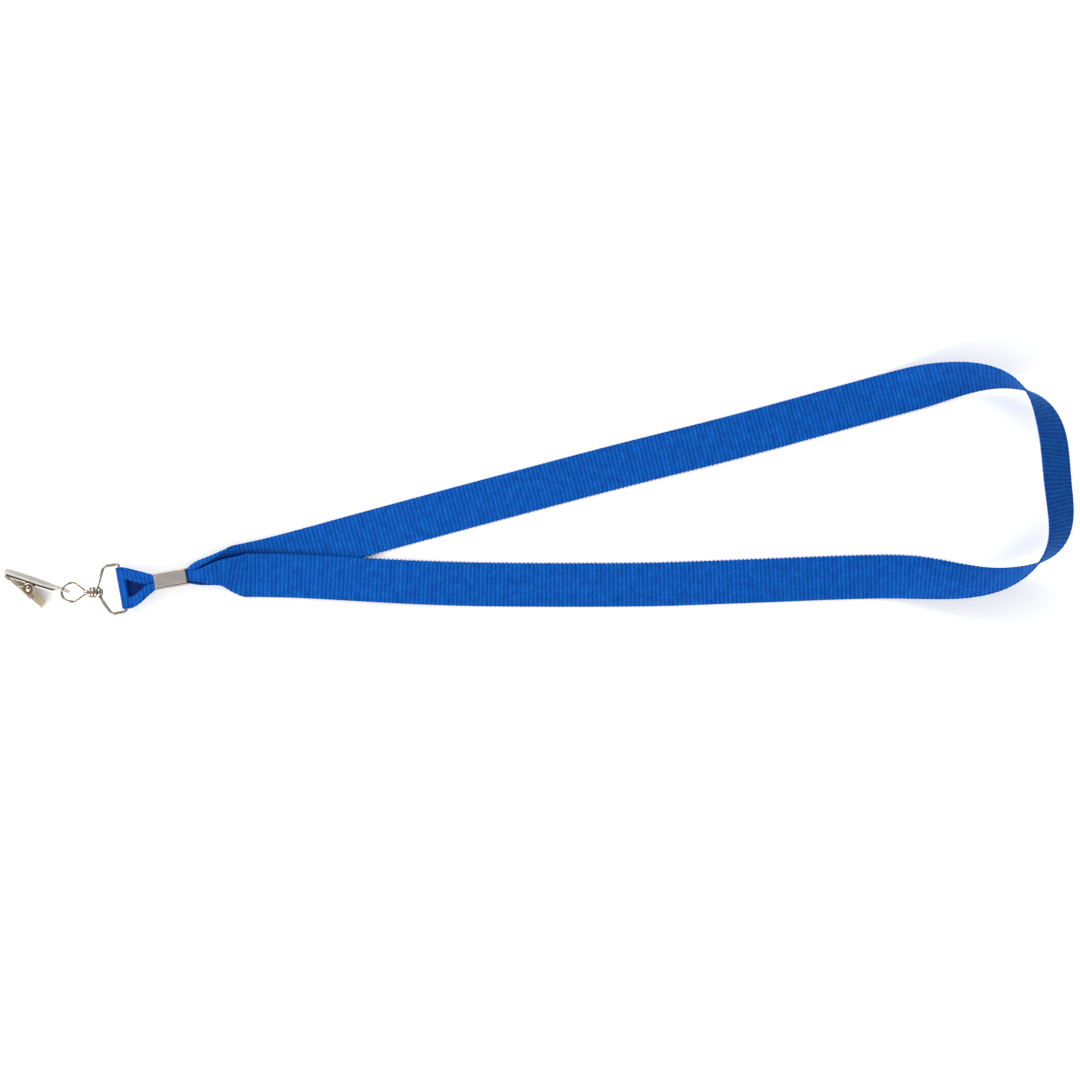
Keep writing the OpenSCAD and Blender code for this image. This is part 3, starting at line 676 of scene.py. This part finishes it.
edgeLine = addMesh("looseEdgeLoops", looseEdge, [])
edgeLine.data.clear_geometry()
edgeLine.data.from_pydata([tuple(p) for p in looseEdge], [(i, i + 1) for i in range(len(looseEdge) - 1)], [])
tree, ids = loopTree()
grown(edgeLine, tree, {ids["pitch"]: webbing["pitch"] * mm, ids["radius"]: strapSize["looseEdge"] * mm,
                       ids["seed"]: 7, ids["finish"]: cloth})
print("edge loops made,", len(edgeLine.data.polygons), "faces")
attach(strap, "neck_strap")
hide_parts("strap")
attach(edgeLine, "neck_strap")

crimpSize = {"length": 15.2, "width": 7.7, "height": 6.7, "wall": 0.6, "corner": 1.5, "seam": 0.4}


def roundedLoop(w, h, r, seam, inset):
    # half-open loop of a rounded rectangle, from one side of the seam underneath round to the other
    w, h, r = w - 2 * inset, h - 2 * inset, max(r - inset, 0.15)
    out = [(-seam / 2, -h / 2)]
    for cx, cy, start in ((-w / 2 + r, -h / 2 + r, 270), (-w / 2 + r, h / 2 - r, 180),
                          (w / 2 - r, h / 2 - r, 90), (w / 2 - r, -h / 2 + r, 0)):
        for a in np.radians(np.linspace(start, start - 90, 7)):
            out.append((cx + r * math.cos(a), cy + r * math.sin(a)))
    out.append((seam / 2, -h / 2))
    return np.array(out)


def buildCrimp():
    s = crimpSize
    m = axesFrom(barPlace - [0, 0, barPlace[2]], [math.cos(pull), math.sin(pull), 0], [0, 0, 1])
    # distance along, and how far the rim is rounded in there
    rim = [(0, 0.18), (0.12, 0.05), (0.35, 0), (1.0, 0.0), (4, 0)]
    stations = rim + [(s["length"] / 2, 0)] + [(s["length"] - u, pinch) for u, pinch in rim[::-1]]
    rings = []
    for u, pinch in stations:
        outer = roundedLoop(s["width"], s["height"], s["corner"], s["seam"], pinch)
        inner = roundedLoop(s["width"], s["height"], s["corner"], s["seam"], s["wall"] - pinch * 0.5)[::-1]
        ring = np.vstack([outer, inner])
        rings.append(np.stack([np.full(len(ring), strapSize["crimpGap"] + u), -ring[:, 0],
                               ring[:, 1] + s["height"] / 2], 1))
    points = placed(m, np.vstack(rings))
    piece = turnOut(addMesh("crimpSleeve", points, loft(rings)))
    piece.data.materials.append(crimpSteel)
    return piece


crimp = buildCrimp()
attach(crimp, "neck_strap")
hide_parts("crimp")
print("crimp made")

ringSize = {"wire": 1.44, "bend": 1.5, "bar": 11.0, "side": 6.8, "shoulder": 11.1, "windRadius": 1.8,
            "lowTurns": 1.05, "highTurns": 1.6, "windPitch": 1.4}
swivelAxis = np.array(joints["eye_swivel"]["axis"])
ringBar = np.array(joints["ring_swing"]["axis"])
hubPlace = np.array(joints["eye_swivel"]["pos_m"])
ringFrame = axesFrom(barPlace, hubPlace - barPlace, np.cross(hubPlace - barPlace, ringBar))
eyeFrame = axesFrom(hubPlace, swivelAxis, np.cross(hubPlace - barPlace, ringBar))
ringLeft = np.linalg.inv(ringFrame)


def roundCorners(corners, radius, steps=8):
    # straight stretches with round bends
    c = np.asarray(corners, float)
    out = [c[0]]
    for a, b, d in zip(c, c[1:], c[2:]):
        u, w = unit(a - b), unit(d - b)
        half = math.acos(np.clip(np.dot(u, w), -1, 1)) / 2
        back = radius / math.tan(half)
        mid = b + unit(u + w) * radius / math.sin(half)
        p, q = b + u * back - mid, b + w * back - mid
        turn = math.acos(np.clip(np.dot(p, q) / radius ** 2, -1, 1))
        for t in np.linspace(0, 1, steps):
            out.append(mid + (math.sin((1 - t) * turn) * p + math.sin(t * turn) * q) / math.sin(turn))
    out.append(c[-1])
    return np.array(out)


def windTurns(start, turns, sense, shift, drift):
    # a helix round the swivel's axis, in the ring's frame
    m = ringLeft @ eyeFrame
    out = []
    for a in np.linspace(0, turns * 2 * math.pi, int(26 * turns) + 1):
        q = start + sense * a
        p = np.array([shift + drift * a / (2 * math.pi), ringSize["windRadius"] * math.cos(q),
                      ringSize["windRadius"] * math.sin(q)])
        out.append(m[:3, :3] @ p + m[:3, 3] / mm)
    return out


def buildRing():
    s = ringSize
    ring = roundCorners([[9.4, s["shoulder"] * 0.53, -0.35], [s["side"], s["shoulder"], 0], [0, s["bar"], 0],
                         [0, -s["bar"], 0], [s["side"], -s["shoulder"], 0], [9.6, -s["shoulder"] * 0.5, 0.4]],
                        s["bend"])
    # the lower leg passes under the shank and takes one turn, the upper one passes over it and takes two
    low = windTurns(-math.pi / 2, s["lowTurns"], -1, -1.5, 0.0)
    high = windTurns(math.pi / 2, s["highTurns"], -1, 0.1, s["windPitch"])
    path = np.vstack([low[::-1], [[10.4, 3.1, -1.35]], ring, [[10.9, -3.0, 1.3]], high])
    path = smoothPath(path, 2)
    rings = wireRings(path, s["wire"], 14)
    piece = turnOut(addMesh("ringWire", placed(ringFrame, np.vstack(rings)), loft(rings)))
    piece.data.materials.append(wireSteel)
    return piece


ring = buildRing()
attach(ring, "ring")
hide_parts("strap_ring")
print("ring made")

eyeSize = {"wire": 1.3, "radius": 4.27, "apex": 4.4, "reach": 11.25, "shank": 2.0, "hubHalf": 2.15,
           "tail": 0.32, "rivet": 3.2, "rivetThick": 1.2, "washer": 4.6, "washerThick": 1.2, "washerGap": 0.05}


def buildEye():
    s = eyeSize
    lean = math.asin(s["radius"] / (s["reach"] - s["apex"]))
    arc = math.pi / 2 + lean
    turn = [[s["reach"] + s["radius"] * math.cos(a), s["radius"] * math.sin(a), 0]
            for a in np.linspace(-arc, arc, 60)]
    inner, tail = s["apex"] - 0.35, s["tail"]
    path = np.array([[inner - 0.9, -tail, 0], [inner, -tail, 0], [s["apex"] + 0.5, -0.62, 0]] + turn
                    + [[s["apex"] + 0.5, 0.62, 0], [inner, tail, 0], [inner - 0.9, tail, 0]])
    path = smoothPath(path, 3)
    wire = wireRings(path, s["wire"], 14, False)
    points, faces = [np.vstack(wire)], loft(wire)
    base = len(points[0])
    h, r, head, thick = s["hubHalf"], s["shank"] / 2, s["rivet"] / 2, s["rivetThick"]
    collarEnd = h + s["washerThick"]
    # the shank, with the riveted head at the ring's side and a cone where the eye's wires meet
    profile = [(0.02, -h - thick), (0.7, -h - thick), (1.25, -h - thick * 0.85), (head, -h - thick * 0.5),
               (head, -h - 0.08), (head - 0.1, -h), (r, -h), (r, collarEnd + 0.1), (r + 0.15, collarEnd + 0.35),
               (r + 0.05, s["apex"] + 0.3), (r * 0.75, s["apex"] + 0.9), (0.02, s["apex"] + 1.2)]
    turned = lathe(profile, 28)
    shaft = np.vstack(turned)[:, [2, 0, 1]]
    points.append(shaft)
    faces += loft(turned, base=base)
    piece = turnOut(addMesh("eyeWire", placed(eyeFrame, np.vstack(points)), faces))
    piece.data.materials.append(wireSteel)
    return piece


def buildCollar():
    s = eyeSize
    start, r, t = s["hubHalf"], s["washer"] / 2, s["washerThick"]
    bore = s["shank"] / 2 + s["washerGap"]
    profile = [(bore, start), (r - 0.35, start), (r - 0.08, start + 0.12), (r, start + t * 0.35),
               (r, start + t * 0.65), (r - 0.08, start + t - 0.12), (r - 0.35, start + t), (bore, start + t),
               (bore, start)]
    turned = lathe(profile, 40)
    pts = np.vstack(turned)[:, [2, 0, 1]]
    piece = turnOut(addMesh("eyeCollar", placed(eyeFrame, pts), loft(turned, caps=False)))
    piece.data.materials.append(wireSteel)
    return piece


eye = buildEye()
collar = buildCollar()
for piece, node, slotName in ((eye, "swivel_eye", "eye_wire"), (collar, "swivel_washer", "washer_steel")):
    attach(piece, "eye")
    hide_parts(node)
print("swivel made")

clipSize = {"sheet": 0.5, "jawHalf": 3.7, "tailHalf": 2.5, "tailEnd": -3.6, "length": 28.1, "depth": 1.8,
            "corner": 0.9, "pivotReach": 14.3, "pivotDrop": 3.3, "jawEar": 2.05, "earSlope": 3.2, "hole": 2.6,
            "leverAngle": 27.0, "leverDrop": 4.4, "leverHalf": 4.4, "tab": 10.6, "tabHalf": 3.4,
            "tabDepth": 2.1, "front": 12.6, "frontHalf": 3.6, "ear": 2.6, "pin": 1.6, "head": 2.7, "headGap": 0.05,
            "toolReach": 2}
pivotPlace, pinAxis = np.array(joints["jaw_open"]["pos_m"]), np.array(joints["jaw_open"]["axis"])
holePlace = np.array(joints["clip_swing"]["pos_m"])
# the clip's length runs from the tail hole past the pivot pin, pivotDrop below the jaw's inner face
toPivot = (pivotPlace - holePlace) / mm
s = clipSize
drop = math.atan2(s["pivotDrop"], s["pivotReach"])
lengthDir = unit(toPivot - pinAxis * np.dot(toPivot, pinAxis))
lengthDir = lengthDir * math.cos(drop) - np.cross(pinAxis, lengthDir) * math.sin(drop)
clipFrame, pinFrame = axesFrom(holePlace, lengthDir, pinAxis), axesFrom(pivotPlace, lengthDir, pinAxis)
leverTurn = math.radians(s["leverAngle"])
leverDir = lengthDir * math.cos(leverTurn) - np.cross(pinAxis, lengthDir) * math.sin(leverTurn)
leverFrame = axesFrom(pivotPlace, leverDir, pinAxis)


def between(x, stops):
    return float(np.interp(x, [p[0] for p in stops], [p[1] for p in stops]))


def channel(stations, sheet, corner, webSteps=9):
    # a bent sheet: stations are x, the web's outer height, half width and wall depth; walls go towards +y
    rings, inside = [], []
    for x, y, half, depth in stations:
        r = min(corner, max(depth * 0.9, 0.03))
        line, norm = [], []
        for t in np.linspace(-1, 1, webSteps):
            line.append((t * (half - r), 0))
            norm.append((0, 1))
        for a in np.radians(np.linspace(15, 90, 6)):
            line.append((half - r + r * math.sin(a), r - r * math.cos(a)))
            norm.append((-math.sin(a), math.cos(a)))
        for t in np.linspace(0.25, 1, 4):
            line.append((half, r + t * max(depth - r, 0.02)))
            norm.append((-1, 0))
        # the other wall is this one turned over
        line, norm = (np.vstack([a[webSteps:][::-1] * [-1, 1], a])
                      for a in (np.array(line, float), np.array(norm, float)))
        slim = min(sheet, max(depth, sheet))
        inner = line + norm * slim
        ring = np.vstack([line, inner[::-1]])
        rings.append(np.stack([np.full(len(ring), x), y + ring[:, 1], ring[:, 0]], 1))
        inside += [0.0] * len(line) + [1.0] * len(line)
    return rings, inside


def bulge(x, centre, radius, height, base):
    # a round ear standing out of a wall
    if abs(x - centre) < radius:
        return max(base, height + math.sqrt(max(radius ** 2 - (x - centre) ** 2, 0)))
    return base


def buildUpperJaw():
    s = clipSize
    earXs = s["pivotReach"] + 2.1 * np.cos(np.radians(np.arange(0, 181, 15)))
    xs = np.unique(np.round(np.concatenate([np.linspace(s["tailEnd"], s["length"], 110), earXs]), 3))
    stations = []
    for x in xs:
        half = between(x, [(s["tailEnd"], 0.9), (-3.2, 1.6), (-2.2, 2.2), (-1.0, s["tailHalf"]),
                           (1.6, s["tailHalf"]), (8.5, s["jawHalf"])])
        wall = between(x, [(1.4, 0.04), (2.6, 0.9), (4.2, s["depth"]), (26.4, s["depth"]), (27.3, 1.4),
                           (s["length"], 0.9)])
        wall = bulge(x, s["pivotReach"], s["jawEar"], s["pivotDrop"] + s["sheet"], wall)
        past = abs(x - s["pivotReach"]) - s["jawEar"]
        if past >= 0:
            wall = max(wall, s["pivotDrop"] * 0.85 - past * s["earSlope"])
        noseDrop = between(x, [(26.8, 0), (27.4, 0.08), (27.9, 0.3), (s["length"], 0.6)])
        wall = max(wall - noseDrop, 0.04)
        half -= noseDrop * 0.5
        stations.append((x, noseDrop - s["sheet"], half, wall))
    rings, _ = channel(stations, s["sheet"], s["corner"])
    piece = turnOut(addMesh("upperJawSheet", placed(clipFrame, np.vstack(rings)), loft(rings)))
    # the tail hole, cut with a plain round tool
    reach, r = s["toolReach"], s["hole"] / 2
    turned = lathe([(0.01, -reach), (r, -reach), (r, reach), (0.01, reach)], 32)
    toolPoints = placed(clipFrame, np.vstack(turned)[:, [0, 2, 1]])
    tool = turnOut(addMesh("holeTool", toolPoints, loft(turned), False))
    cut = piece.modifiers.new("hole", "BOOLEAN")
    cut.object, cut.operation, cut.solver = tool, "DIFFERENCE", "EXACT"
    graph = bpy.context.evaluated_depsgraph_get()
    mesh = bpy.data.meshes.new_from_object(piece.evaluated_get(graph), depsgraph=graph)
    piece.modifiers.remove(cut)
    piece.data = mesh
    bpy.data.objects.remove(tool)
    piece.data.materials.append(jawSteel)
    return piece


def buildLever():
    s = clipSize
    earXs = s["ear"] * np.cos(np.radians(np.arange(0, 181, 12)))
    xs = np.unique(np.round(np.concatenate([np.linspace(-s["tab"], s["front"], 100), earXs]), 3))
    stations = []
    for x in xs:
        half = between(x, [(-s["tab"], s["tabHalf"]), (-4, s["leverHalf"]), (9, s["leverHalf"]),
                           (s["front"], s["frontHalf"])])
        wall = between(x, [(-s["tab"], s["tabDepth"] - 0.5), (-s["tab"] + 0.6, s["tabDepth"]),
                           (-4, s["tabDepth"]), (-2.6, 3.6), (2.6, 3.4), (4.6, 1.7), (12.4, 1.1),
                           (s["front"], 0.6)])
        wall = bulge(x, 0, s["ear"], s["leverDrop"], wall)
        stations.append((x, 0, half, wall))
    rings, inside = channel(stations, s["sheet"], s["corner"])
    points = np.vstack(rings)
    points[:, 1] = s["leverDrop"] - points[:, 1]
    piece = addMesh("leverSheet", placed(leverFrame, points), loft(rings))
    mark = piece.data.attributes.new("inside", "FLOAT", "POINT")
    mark.data.foreach_set("value", inside)
    piece.data.flip_normals()
    piece.data.materials.append(leverSteel)
    return piece


def buildPin():
    s = clipSize
    h, r, head = s["leverHalf"] + s["headGap"], s["pin"] / 2, s["head"] / 2
    half = [(r, 0), (r, h), (head - 0.12, h), (head, h + 0.08), (head * 0.97, h + 0.2), (head * 0.86, h + 0.36),
            (head * 0.68, h + 0.48), (head * 0.4, h + 0.56), (0.02, h + 0.6)]
    turned = lathe([(a, -b) for a, b in half[::-1]] + half[1:], 36)
    piece = turnOut(addMesh("hollowRivet", placed(pinFrame, np.vstack(turned)), loft(turned)))
    piece.data.materials.append(pinSteel)
    return piece


springSize = {"wire": 0.66, "turns": 4, "leg": 5.2, "radius": 1.45, "seatGap": 0.05}


def buildSpring():
    q, s = springSize, clipSize
    seatOff = q["seatGap"] + q["wire"] / 2
    reach, slope = math.hypot(q["radius"], q["leg"]), math.atan2(q["radius"], q["leg"])
    jawDip = math.asin((s["pivotDrop"] - seatOff) / reach) - slope
    leverDip = math.asin((s["leverDrop"] - s["sheet"] - seatOff) / reach) - slope
    # one end lies on the upper jaw's sheet, the other on the lever's, with the turns between them
    top = q["wire"] * q["turns"] / 2 - q["wire"] / 2
    startAngle = -math.pi / 2 + jawDip
    endAngle = math.pi / 2 - leverTurn - leverDip - 2 * math.pi * q["turns"]

    def dirAt(a):
        return np.array([math.cos(a), math.sin(a), 0])
    turn = np.linspace(startAngle, endAngle, 26 * q["turns"])
    coil = [dirAt(a) * q["radius"] + [0, 0, top - 2 * top * k / (len(turn) - 1)] for k, a in enumerate(turn)]
    first = coil[0] + dirAt(startAngle - math.pi / 2) * q["leg"]
    last = coil[-1] + dirAt(endAngle + math.pi / 2) * q["leg"]
    path = np.vstack([[first, first * 0.5 + coil[0] * 0.5], coil, [coil[-1] * 0.5 + last * 0.5, last]])
    rings = wireRings(smoothPath(path, 2), q["wire"], 10)
    piece = turnOut(addMesh("springCoil", placed(pinFrame, np.vstack(rings)), loft(rings)))
    piece.data.materials.append(springSteel)
    return piece


upperJaw, lever, pin, spring = buildUpperJaw(), buildLever(), buildPin(), buildSpring()
for piece in (crimp, ring, eye, collar, pin, spring):
    markFacing(piece)
# painted light on the sheets, lowering the facing value so their flat faces take lighter painted tones: where it
# starts and over how far, in millimetres, and how much
paintedLightShift = {"lever": (4.6, 2.2, 0.19), "nose": (25.8, 1.2, 0.4), "web": (-0.35, 0.2, 0.22)}


def lightShift(name, distance):
    start, reach, most = paintedLightShift[name]
    return most * np.clip((distance - start) / reach, 0, 1)


webDir = np.cross(pinAxis, lengthDir)
markFacing(lever, lambda q: lightShift("lever", np.linalg.norm(q - pivotPlace, axis=1) / mm))
markFacing(upperJaw, lambda q: np.maximum(lightShift("nose", (q - holePlace) @ lengthDir / mm),
                                          lightShift("web", (holePlace - q) @ webDir / mm)))
for piece, body, node, slotName in ((upperJaw, "clip", "upper_jaw", "jaw_steel"),
                                    (lever, "lever", "lower_jaw", "lever_steel"),
                                    (pin, "clip", "pivot_pin", "pin_steel")):
    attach(piece, body)
    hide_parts(node)
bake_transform(spring)
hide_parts("torsion_spring")
print("clip made")

stage = {"half": 6, "below": 0.0002, "floor": (0.93, 0.93, 0.93, 1), "roughness": 0.9, "sky": 0.9, "lamp": 1.3,
         "key": 46.0, "fill": 36.0,
         "shades": [(0.0, 0.45), (0.25, 0.55), (0.42, 1.15), (0.80, 1.15), (0.92, 0.5), (1.0, 0.26)]}
corners = [(x * stage["half"], y * stage["half"], -stage["below"])
           for x, y in ((-1, -1), (1, -1), (1, 1), (-1, 1))]
floor = addMesh("floor", corners, [(0, 1, 2, 3)], False)
floorMat, nodes, links, shader = newMaterial("paleFloor")
feed(links, (shader.inputs["Base Color"], stage["floor"]), (shader.inputs["Roughness"], stage["roughness"]))
floor.data.materials.append(floorMat)

# the sky by height, from the horizon's underside to straight overhead
world = bpy.data.worlds.new("studio")
world.use_nodes = True
nodes, links = world.node_tree.nodes, world.node_tree.links
sky = nodes["Background"]
direction = nodes.new("ShaderNodeTexCoord")
skyParts = nodes.new("ShaderNodeSeparateXYZ")
links.new(direction.outputs["Generated"], skyParts.inputs[0])
shade = ramp(nodes, [(place, (value,) * 3) for place, value in stage["shades"]])
links.new(skyParts.outputs[2], shade.inputs[0])
links.new(shade.outputs[0], sky.inputs[0])
sky.inputs[1].default_value = stage["sky"]
scene.world = world


def addLight(name, place, power):
    # a square soft light aimed at the middle
    data = bpy.data.lights.new(name, "AREA")
    data.shape, data.size, data.energy = "SQUARE", stage["lamp"], power
    light = bpy.data.objects.new(name, data)
    light.location = place
    light.rotation_euler = (-Vector(place)).to_track_quat("-Z", "Y").to_euler()
    scene.collection.objects.link(light)


addLight("key", (-1.2, 1.4, 0.9), stage["key"])
addLight("fill", (-0.9, -1.5, 0.95), stage["fill"])
scene.view_settings.view_transform = "Standard"
scene.view_settings.look = "None"
print("stage made")
